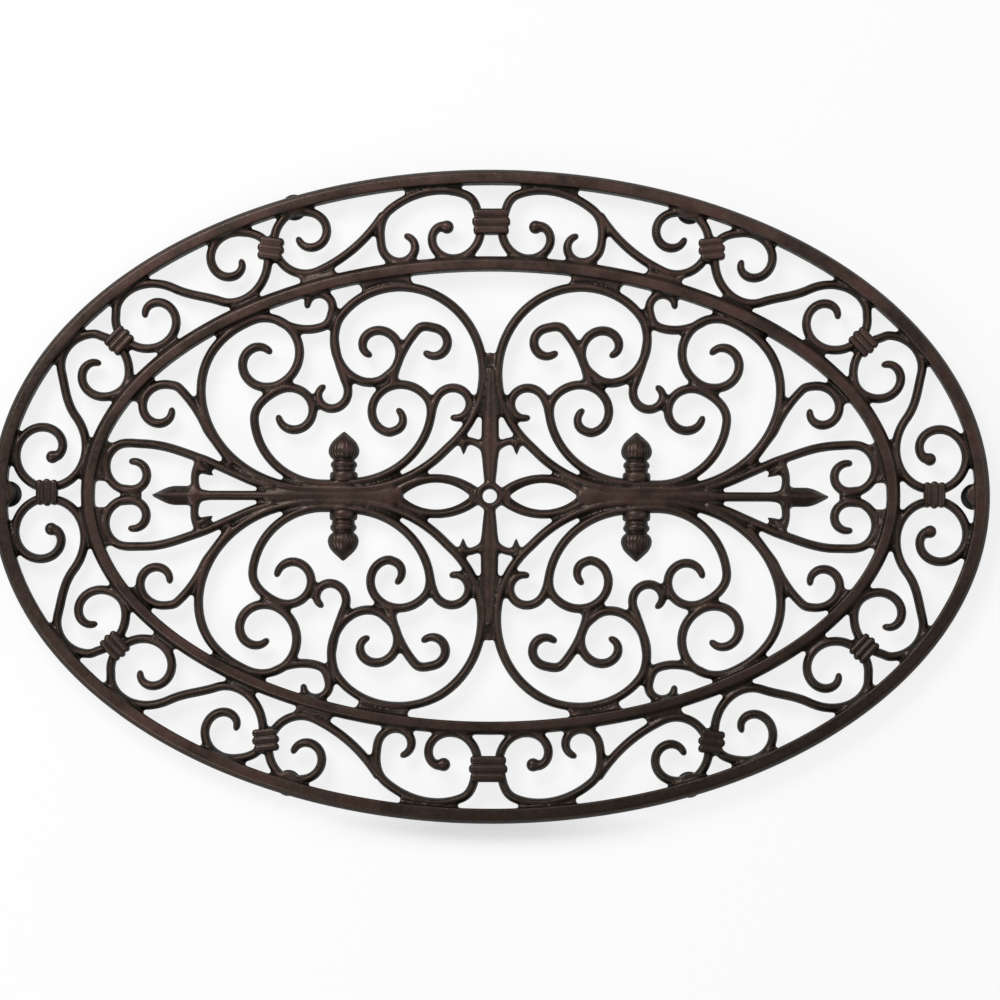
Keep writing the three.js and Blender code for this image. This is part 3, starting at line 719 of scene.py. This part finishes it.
def node_labels(piece, parts):
    """The node that each face of the fused casting belongs to: the one whose centreline is nearest."""
    names = sorted({node for node, _, _ in parts})
    samples = [(p, names.index(node)) for node, points, _ in parts for p in points]
    tree = KDTree(len(samples))
    for i, (p, _) in enumerate(samples):
        tree.insert((p[0] * MM, p[1] * MM, 0), i)
    tree.balance()
    return names, [samples[tree.find((*face.center[:2], 0))[1]][1] for face in piece.data.polygons]


def edge_ends(mesh):
    """The two vertices of each edge."""
    ends = np.empty(len(mesh.edges) * 2, dtype=np.int64)
    mesh.edges.foreach_get("vertices", ends)
    return ends.reshape(-1, 2)


def mark_wear_and_shade(piece):
    """Stores on each vertex how far it stands proud of its surroundings: 0 deep in a recess, 1 on a ridge. The
    iron's colour uses it both for worn ridges and for painted shade in the creases.
    """
    reach = 2.4 * MM
    mesh = piece.data
    count = len(mesh.vertices)
    places = places_of(mesh)
    normals = np.empty(count * 3)
    mesh.vertex_normals.foreach_get("vector", normals)
    a, b = edge_ends(mesh).T
    degree = np.maximum(np.bincount(a, minlength=count) + np.bincount(b, minlength=count), 1)
    spacing = np.linalg.norm(places[a] - places[b], axis=1).mean()
    eased = places
    for _ in range(max(2, round(2 * (reach / spacing) ** 2))):
        total = [np.bincount(a, eased[b, i], count) + np.bincount(b, eased[a, i], count) for i in range(3)]
        eased = 0.5 * eased + 0.5 * np.stack(total, axis=1) / degree[:, None]
    proud = ((places - eased) * normals.reshape(-1, 3)).sum(axis=1)
    wear = mesh.attributes.new("wear", "FLOAT", "POINT")
    wear.data.foreach_set("value", np.clip(0.5 + proud / (0.5 * reach), 0, 1))


def clear_specks(piece, labels):
    """Gives each patch of fewer faces than the smallest to the patch round it."""
    smallest = 50
    mesh = bmesh.new()
    mesh.from_mesh(piece.data)
    mesh.faces.ensure_lookup_table()
    seen = [False] * len(mesh.faces)
    for start in mesh.faces:
        if seen[start.index]:
            continue
        label = labels[start.index]
        seen[start.index] = True
        patch, border = [start], {}
        for face in patch:
            for edge in face.edges:
                for other in edge.link_faces:
                    if labels[other.index] != label:
                        border[labels[other.index]] = border.get(labels[other.index], 0) + 1
                    elif not seen[other.index]:
                        seen[other.index] = True
                        patch.append(other)
        if len(patch) < smallest and border:
            for face in patch:
                labels[face.index] = max(border, key=border.get)
    mesh.free()


def away_from_cuts(piece, labels):
    """A vertex group of all that lies two edges or more from where the casting is parted."""
    mesh = piece.data
    count = len(mesh.vertices)
    corners = np.empty(len(mesh.loops), dtype=np.int64)
    mesh.loops.foreach_get("vertex_index", corners)
    face_sizes = np.empty(len(mesh.polygons), dtype=np.int64)
    mesh.polygons.foreach_get("loop_total", face_sizes)
    label = np.repeat(np.array(labels), face_sizes)
    # A vertex lies on a cut where the labels round it vary.
    total, squares = np.bincount(corners, label, count), np.bincount(corners, label**2, count)
    near = squares * np.bincount(corners, minlength=count) > total**2 + 0.5
    edges = edge_ends(mesh)
    near[edges[near[edges].any(axis=1)].ravel()] = True
    group = piece.vertex_groups.new(name="away_from_cuts")
    group.add(np.flatnonzero(~near).tolist(), 1.0, "REPLACE")


def cut_loops(mesh):
    """The open edges of a mesh as simple loops of vertices, in the order that a face across them takes."""
    onward = {}
    for edge in mesh.edges:
        if edge.is_boundary:
            corner = edge.link_loops[0]
            onward.setdefault(corner.link_loop_next.vert, []).append(corner.vert)
    loops = []
    while onward:
        walk = [next(iter(onward))]
        while walk[-1] in onward:
            ahead = onward[walk[-1]]
            vert = ahead.pop()
            if not ahead:
                del onward[walk[-1]]
            if vert in walk:
                at = walk.index(vert)
                loops.append(walk[at:])
                del walk[at + 1 :]
            else:
                walk.append(vert)
    return loops


def cap_cuts(piece):
    """Closes each opening left where the casting was parted, with one strip of faces from side to side."""
    mesh = bmesh.new()
    mesh.from_mesh(piece.data)
    for loop in cut_loops(mesh):
        count = len(loop)
        if count < 3:
            continue
        # The cut is upright, so points that face each other across it lie close together in plan.
        at = np.array([v.co for v in loop]) * (1, 1, 0.1)
        steps = np.arange(1, count // 2 + 1)
        across = [at[(i + steps) % count] - at[(i - steps) % count] for i in range(count)]
        first = int(np.argmin([np.linalg.norm(gaps, axis=1).sum() for gaps in across]))
        ring = loop[first:] + loop[:first]
        at = np.roll(at, -first, axis=0)
        up, down = 1, count - 1
        triangles = [(ring[down], ring[0], ring[up])]
        while down - up >= 2:
            if np.linalg.norm(at[up + 1] - at[down]) < np.linalg.norm(at[up] - at[down - 1]):
                triangles.append((ring[down], ring[up], ring[up + 1]))
                up += 1
            else:
                triangles.append((ring[down], ring[up], ring[down - 1]))
                down -= 1
        for a, b, c in triangles:
            if mesh.faces.get((a, b, c)) is None:
                mesh.faces.new((a, b, c))
    mesh.to_mesh(piece.data)
    mesh.free()


class DOORMAT_OT_casting(bpy.types.Operator):
    """Casts the rims, scrolls, spears and rosette as one skin with soft fillets, then parts it into members"""

    bl_idname = "door_mat.casting"
    bl_label = "Cast rims and scrolls"

    def execute(self, context):
        s = sizes()
        parts = members()
        casting = joined([mesh for _, _, mesh in parts], "casting")
        # Grown and shrunk again, the skin keeps a fillet in every corner between members.
        for growth in (s.fillet, -s.fillet):
            fuse(casting, s.grain)
            apply_modifier(casting, "DISPLACE", strength=growth, mid_level=0)
        apply_modifier(casting, "SMOOTH", factor=0.5, iterations=s.softening)
        mark_wear_and_shade(casting)
        names, labels = node_labels(casting, parts)
        clear_specks(casting, labels)
        for name in names:
            casting.data.materials.append(bpy.data.materials.new(name))
        casting.data.polygons.foreach_set("material_index", labels)
        away_from_cuts(casting, labels)
        apply_modifier(casting, "DECIMATE", ratio=0.3, vertex_group="away_from_cuts")
        settle(casting)
        edit(casting)
        bpy.ops.mesh.separate(type="MATERIAL")
        leave_edit()
        finish = iron_finish()
        for piece in list(context.selected_objects):
            node = piece.data.materials[piece.data.polygons[0].material_index].name
            cap_cuts(piece)
            smooth_shaded(piece, 45)
            piece.name = piece.data.name = node + "_iron"
            dress(piece, node, finish)
        for name in names:
            bpy.data.materials.remove(bpy.data.materials[name])
        return {"FINISHED"}


def dress(piece, node, material):
    """Gives a finished piece its material and body, in place of its node."""
    piece.data.materials.clear()
    piece.data.materials.append(material)
    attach(piece, BODY)
    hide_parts(node)


# Collars, finials and feet

COLLARS = (
    # node, x, y, length of the ribs, width of a rib, direction of the ribs in degrees
    ("shoulder_collar", 144.4, 161.4, 17.5, 5.0, 7),
    ("corner_collar", 243.2, 100.4, 18.0, 4.4, -47),
)
AXIS_COLLARS = (
    ("axis_collar_top", 0, 179.6, 25, 5.6, 0),
    ("axis_collar_bottom", 0, -179.6, 25, 5.6, 0),
    ("axis_collar_right", 289, 0, 17.6, 4.7, 90),
    ("axis_collar_left", -289, 0, 17.6, 4.7, 90),
)


def collar(name, x, y, length, pitch, degrees):
    """A clasp of three rounded ribs laid side by side over two bars."""
    s = sizes()
    tall, overlap, outer_share, cell = s.collar_top - s.bar_bottom, 1.02, 0.93, 0.00045
    ribs = []
    for i in (-1, 0, 1):
        long = length * (outer_share if i else 1) * MM
        place = (0, i * pitch * MM, s.bar_bottom + tall / 2)
        deselect()
        bpy.ops.mesh.primitive_cube_add(size=1, location=place, scale=(long, pitch * overlap * MM, tall))
        bpy.ops.object.transform_apply()
        ribs.append(apply_modifier(bpy.context.object, "BEVEL", width=0.0022, segments=4, limit_method="NONE"))
    piece = joined(ribs, name)
    fuse(piece, cell)
    apply_modifier(piece, "DECIMATE", ratio=0.4)
    placed(spun(piece, radians(degrees)), x, y)
    mark_wear_and_shade(piece)
    pick(piece)
    bpy.ops.object.shade_smooth()
    return piece


class DOORMAT_OT_collars(bpy.types.Operator):
    """Lays the ribbed collars over the bars that they bind"""

    bl_idname = "door_mat.collars"
    bl_label = "Add collars"

    def execute(self, context):
        finish = iron_finish()
        for node, *place in AXIS_COLLARS:
            piece = collar(node + "_iron", *place)
            placed(piece, 0, float(settled(place[0], place[1])))
            dress(piece, node, finish)
        for member, *place in COLLARS:
            first = collar(member, *place)
            for where, sideways, upward in QUARTERS:
                node = member + "_" + where
                piece = copied(node + "_iron", first, sideways, upward)
                placed(piece, 0, float(settled(place[0], place[1] * upward)))
                dress(piece, node, finish)
            bpy.data.objects.remove(first)
        return {"FINISHED"}


FINIAL_X = 95.5
# The bud's outline as [radius, distance from the axis of the mat] in millimetres.
FINIAL_PROFILE = (
    (9.2, 7.6), (9.2, 12.6), (9.1, 14.6), (8.6, 15.6), (7.3, 16.1), (7.1, 16.6), (7.6, 17), (7.7, 17.7),
    (7.3, 18.2), (8.2, 18.9), (8.8, 20.2), (8.6, 21.6), (7.6, 22.8), (6.9, 23.4), (7, 24), (8.3, 24.8),
    (9.6, 26.4), (10.3, 28.6), (10.2, 31), (9.1, 34), (7.3, 36.4), (4.9, 38.6), (2.8, 40.4), (1.3, 41.8),
    (0.15, 42.4),
)
FLUTES, FLUTE_DEPTH, FLUTES_FROM, FLUTES_TO = 18, 0.04, 24.6, 41.5


def finial(name):
    """A turned bud with flutes, halved lengthwise so that it lies on its back."""
    s = sizes()
    piece = turned(name, [(r * MM, z * MM) for r, z in FINIAL_PROFILE], 96)
    apply_modifier(piece, "SUBSURF", levels=1, render_levels=1)
    ease_in, ease_out, sharpness = 0.8, 13, 1.5
    for v in piece.data.vertices:
        along = v.co.z / MM
        if FLUTES_FROM < along < FLUTES_TO:
            ease = min(1, (along - FLUTES_FROM) / ease_in, (FLUTES_TO - along) / ease_out)
            wave = abs(sin(atan2(v.co.y, v.co.x) * FLUTES / 2))
            share = 1 - FLUTE_DEPTH * ease * (1 - wave) ** sharpness
            v.co.x *= share
            v.co.y *= share
    # Z, along the bud, becomes Y; the bud's lower half goes under its back.
    piece.data.transform(Matrix(((1, 0, 0, 0), (0, 0, 1, 0), (0, 1, 0, 0), (0, 0, 0, 1))))
    piece.data.transform(Matrix.Translation((FINIAL_X * MM, 0, s.bar_bottom)))
    edit(piece)
    bpy.ops.mesh.bisect(plane_co=(0, 0, s.bar_bottom), plane_no=(0, 0, 1), use_fill=True, clear_inner=True)
    leave_edit()
    close_up(piece)
    mark_wear_and_shade(piece)
    smooth_shaded(piece, 50)
    return piece


class DOORMAT_OT_finials(bpy.types.Operator):
    """Stands the four fluted finials on the waist"""

    bl_idname = "door_mat.finials"
    bl_label = "Add finials"

    def execute(self, context):
        finish = iron_finish()
        first = finial("finial")
        for where, sideways, upward in QUARTERS:
            piece = copied("finial_iron_" + where, first, sideways, upward)
            dress(piece, "finial_" + where, finish)
        bpy.data.objects.remove(first)
        return {"FINISHED"}


class DOORMAT_OT_rubber_feet(bpy.types.Operator):
    """Puts the six rubber feet under the lugs of the outer rim"""

    bl_idname = "door_mat.rubber_feet"
    bl_label = "Add rubber feet"

    def execute(self, context):
        s = sizes()
        finish = rubber_finish()
        top = s.iron_bottom
        profile = [(0.0076, 0), (0.0082, 0.0003), (0.0085, 0.0010), (0.0085, top - 0.0004), (0.0082, top)]
        first = turned("rubber_foot", profile, 48)
        smooth_shaded(first, 50)
        for where, (x, y) in FEET_MM.items():
            piece = copied("rubber_foot_moulded_" + where, first)
            placed(piece, x, y + float(settled(x, y)))
            dress(piece, "rubber_foot_" + where, finish)
        bpy.data.objects.remove(first)
        return {"FINISHED"}


# Materials


class Nodes:
    """Adds nodes to a material and links them by keyword."""

    def __init__(self, name):
        self.material = bpy.data.materials.new(name)
        self.material.use_nodes = True
        self.tree = self.material.node_tree
        self.shader = self.tree.nodes["Principled BSDF"]
        self.output = self.tree.nodes["Material Output"]
        self.coords = self.tree.nodes.new("ShaderNodeTexCoord").outputs["Object"]

    def add(self, kind, settings=None, **inputs):
        node = self.tree.nodes.new(kind)
        for key, value in (settings or {}).items():
            setattr(node, key, value)
        for key, value in inputs.items():
            self.set(node, key.replace("_", " "), value)
        return node

    def set(self, node, key, value):
        """Links a socket's value, or sets it where it is the same all over."""
        if isinstance(value, bpy.types.NodeSocket):
            self.tree.links.new(value, node.inputs[key])
        else:
            node.inputs[key].default_value = value

    def noise(self, scale, detail=3.0, roughness=0.55):
        node = self.add("ShaderNodeTexNoise", Vector=self.coords, Scale=scale, Detail=detail, Roughness=roughness)
        return node.outputs["Fac"]

    def ramp(self, value, low, high, to_low=0.0, to_high=1.0):
        ends = {"From_Min": low, "From_Max": high, "To_Min": to_low, "To_Max": to_high}
        return self.add("ShaderNodeMapRange", {"clamp": True}, Value=value, **ends).outputs["Result"]

    def maths(self, operation, a, b, kind="ShaderNodeMath", result=0):
        node = self.add(kind, {"operation": operation})
        self.set(node, 0, a)
        self.set(node, 1, b)
        return node.outputs[result]

    def times(self, first, *others):
        for other in others:
            first = self.maths("MULTIPLY", first, other)
        return first

    def blend(self, factor, a, b):
        node = self.add("ShaderNodeMix", {"data_type": "RGBA"})
        for key, value in ((0, factor), (6, a), (7, b)):
            self.set(node, key, value)
        return node.outputs[2]

    def bump(self, height, strength, distance, **normal):
        node = self.add("ShaderNodeBump", Height=height, Strength=strength, Distance=distance, **normal)
        return node.outputs["Normal"]


def iron_finish():
    """Antiqued cast iron: black in the recesses and on the sides, partly as painted shade, and brown on the high
    flats, partly worn and partly painted light; finely pitted.
    """
    name = "antiqued_cast_iron"
    if name in bpy.data.materials:
        return bpy.data.materials[name]
    c = bpy.context.scene.door_mat_finish
    n = Nodes(name)
    normal = n.add("ShaderNodeNewGeometry").outputs["Normal"]
    up = n.add("ShaderNodeSeparateXYZ", Vector=normal).outputs["Z"]
    place = n.add("ShaderNodeSeparateXYZ", Vector=n.coords).outputs
    wear = n.add("ShaderNodeAttribute", {"attribute_name": "wear"}).outputs["Fac"]
    # The brown lies on what faces up, stands high and stands proud, in large and small patches: partly a worn
    # finish, partly painted light on the tops, while the black left on steep sides, low places and creases is
    # partly painted shade.
    facing = n.ramp(up, 0.6, 0.95)
    high = n.ramp(place["Z"], 0.0075, 0.0125, 0.3, 1.0)
    proud = n.ramp(wear, 0.2, 0.46)
    patches = n.ramp(n.noise(38, 4), 0.33, 0.62, 0.25, 1.0)
    # The brown fades towards the near side, except at the near left, and also towards the near right and at the
    # left end.
    drift = n.times(n.maths("SUBTRACT", n.noise(7, 2), 0.5), 0.16)
    along, away = n.maths("ADD", place["X"], drift), n.maths("ADD", place["Y"], drift)
    near, left = n.times(away, -1.0), n.times(along, -1.0)
    near_left = n.times(n.ramp(left, 0.02, 0.2, 0.0, 0.42), n.ramp(near, 0.02, 0.1))
    near_right = n.ramp(n.maths("ADD", along, n.times(near, 2.0)), 0.33, 0.46, 1.0, 0.4)
    left_end = n.ramp(left, 0.25, 0.3, 1.0, 0.42)
    tone_by_place = n.times(n.maths("ADD", n.ramp(away, -0.18, 0.15, 0.42, 1.0), near_left), near_right, left_end)
    rubbed_and_lit = n.times(facing, high, proud, patches, tone_by_place)
    rust = n.ramp(n.noise(90, 5, 0.65), 0.45, 0.65, 0.0, 0.8)
    brown = n.blend(rust, (*c.rubbed_and_lit, 1), (*c.rust, 1))
    specks = n.ramp(n.noise(900, 2, 0.7), 0.66, 0.74, 0.0, 0.6)
    brown = n.blend(n.times(specks, proud), brown, (0.16, 0.13, 0.115, 1))
    # Painted light and shade: lit tops turn brown, shaded sides and recesses stay black.
    n.set(n.shader, "Base Color", n.blend(rubbed_and_lit, (*c.recess, 1), brown))
    n.set(n.shader, "Roughness", n.ramp(n.noise(260, 4), 0.3, 0.7, 0.24, 0.46))
    # Steep sides hardly shine, so that the white room doesn't bleach them.
    n.set(n.shader, "Specular IOR Level", n.ramp(up, 0.15, 0.7, 0.02, 0.38))
    n.set(n.shader, "Specular Tint", (1.0, 0.8, 0.68, 1))
    swell = n.bump(n.noise(120, 2), 0.35, 0.0006)
    grain = n.bump(n.noise(1300, 4, 0.6), 0.3, 0.00018, Normal=swell)
    pits = n.add("ShaderNodeTexVoronoi", Vector=n.coords, Scale=420.0).outputs["Distance"]
    n.set(n.shader, "Normal", n.bump(n.ramp(pits, 0.05, 0.22), 0.5, 0.0002, Normal=grain))
    return n.material


def rubber_finish():
    """Matt black moulded rubber."""
    n = Nodes("moulded_rubber")
    black = (*bpy.context.scene.door_mat_finish.rubber, 1)
    n.set(n.shader, "Base Color", n.blend(n.ramp(n.noise(300), 0.3, 0.7), black, (0.02, 0.02, 0.02, 1)))
    n.set(n.shader, "Roughness", n.ramp(n.noise(500), 0.3, 0.7, 0.7, 0.85))
    n.set(n.shader, "Normal", n.bump(n.noise(2500, 3), 0.25, 0.0001))
    return n.material


def floor_finish():
    """A plain pale floor, lifted towards white for the camera, that keeps the mat's shadow."""
    n = Nodes("pale_floor")
    n.set(n.shader, "Roughness", 0.9)
    n.set(n.shader, "Specular IOR Level", 0.1)
    n.set(n.shader, "Base Color", n.blend(n.noise(3, 1), (0.93, 0.93, 0.93, 1), (0.945, 0.945, 0.945, 1)))
    light = n.add("ShaderNodeEmission", Strength=1.0)
    rays = n.add("ShaderNodeLightPath").outputs
    seen = n.maths("MAXIMUM", rays["Is Glossy Ray"], rays["Is Transmission Ray"])
    seen = n.maths("MAXIMUM", rays["Is Camera Ray"], seen)
    # Under the near long side the floor's own shade shows, as in the photograph.
    squeezed = n.maths("MULTIPLY", n.coords, (0.12, 1, 1), "ShaderNodeVectorMath")
    apart = n.maths("DISTANCE", squeezed, (0, -0.2185, 0), "ShaderNodeVectorMath", "Value")
    share = n.ramp(apart, 0.004, 0.016, 0.5, 0.82)
    mix = n.add("ShaderNodeMixShader", Fac=n.times(seen, share))
    n.set(mix, 1, n.shader.outputs[0])
    n.set(mix, 2, light.outputs[0])
    n.set(n.output, "Surface", mix.outputs[0])
    return n.material


# Stage

LAMPS = (
    # name, place, size and share of the main lamp's power
    ("key_softbox", (-0.9, 1.2, 1.5), (1.3, 0.8), 1),
    ("side_softbox", (1.5, 0.4, 1.3), (0.8, 1.6), 0.2),
    ("fill_softbox", (-1.0, -1.0, 0.9), (1.2, 0.6), 0.3),
)


def softbox(name, location, size, power):
    """A large soft lamp aimed at the mat."""
    deselect()
    bpy.ops.object.light_add(type="AREA", location=location)
    lamp = bpy.context.object
    lamp.name = lamp.data.name = name
    lamp.data.shape = "RECTANGLE"
    lamp.data.size, lamp.data.size_y = size
    lamp.data.energy = power
    lamp.rotation_euler = (-Vector(location)).to_track_quat("-Z", "Y").to_euler()


class DOORMAT_OT_stage(bpy.types.Operator):
    """Lays the pale floor, hangs the soft lamps and sets the camera above the mat"""

    bl_idname = "door_mat.stage"
    bl_label = "Set the stage"

    def execute(self, context):
        stage = context.scene.door_mat_stage
        deselect()
        bpy.ops.mesh.primitive_plane_add(size=12, location=(0, 0, 0))
        floor = context.object
        floor.name = floor.data.name = "floor"
        floor.data.materials.append(floor_finish())

        for name, place, size, share in LAMPS:
            softbox(name, place, size, stage.lamp_power * share)

        world = bpy.data.worlds.new("studio")
        context.scene.world = world
        world.use_nodes = True
        background = world.node_tree.nodes["Background"]
        background.inputs["Color"].default_value = (1, 1, 1, 1)
        background.inputs["Strength"].default_value = 0.22

        deselect()
        bpy.ops.object.camera_add(location=stage.camera_place, rotation=stage.camera_turn)
        camera = context.object
        camera.name = camera.data.name = "camera"
        camera.data.sensor_width = 36
        camera.data.lens = stage.camera_lens
        camera.data.clip_end = 50
        context.scene.camera = camera
        context.scene.view_settings.view_transform = "Standard"
        return {"FINISHED"}


class DOORMAT_PT_panel(bpy.types.Panel):
    """Lists the steps that build the mat"""

    bl_label = "Cast iron door mat"
    bl_idname = "DOORMAT_PT_panel"
    bl_space_type = "VIEW_3D"
    bl_region_type = "UI"
    bl_category = "Door Mat"

    def draw(self, context):
        column = self.layout.column(align=True)
        for step in STEPS:
            column.operator(step.bl_idname)
        for group in (context.scene.door_mat_sizes, context.scene.door_mat_finish, context.scene.door_mat_stage):
            box = self.layout.box()
            for key in group.bl_rna.properties.keys():
                if key not in ("rna_type", "name"):
                    box.prop(group, key)


STEPS = (
    DOORMAT_OT_casting,
    DOORMAT_OT_collars,
    DOORMAT_OT_finials,
    DOORMAT_OT_rubber_feet,
    DOORMAT_OT_stage,
)
GROUPS = {
    "door_mat_sizes": DoorMatSizes,
    "door_mat_finish": DoorMatFinish,
    "door_mat_stage": DoorMatStage,
}


def register():
    for each in (*GROUPS.values(), *STEPS, DOORMAT_PT_panel):
        bpy.utils.register_class(each)
    for key, group in GROUPS.items():
        setattr(bpy.types.Scene, key, PointerProperty(type=group))


def unregister():
    for key in GROUPS:
        delattr(bpy.types.Scene, key)
    for each in reversed((*GROUPS.values(), *STEPS, DOORMAT_PT_panel)):
        bpy.utils.unregister_class(each)


def main():
    register()
    bpy.ops.door_mat.casting()
    bpy.ops.door_mat.collars()
    bpy.ops.door_mat.finials()
    bpy.ops.door_mat.rubber_feet()
    bpy.ops.door_mat.stage()


if __name__ == "__main__":
    main()
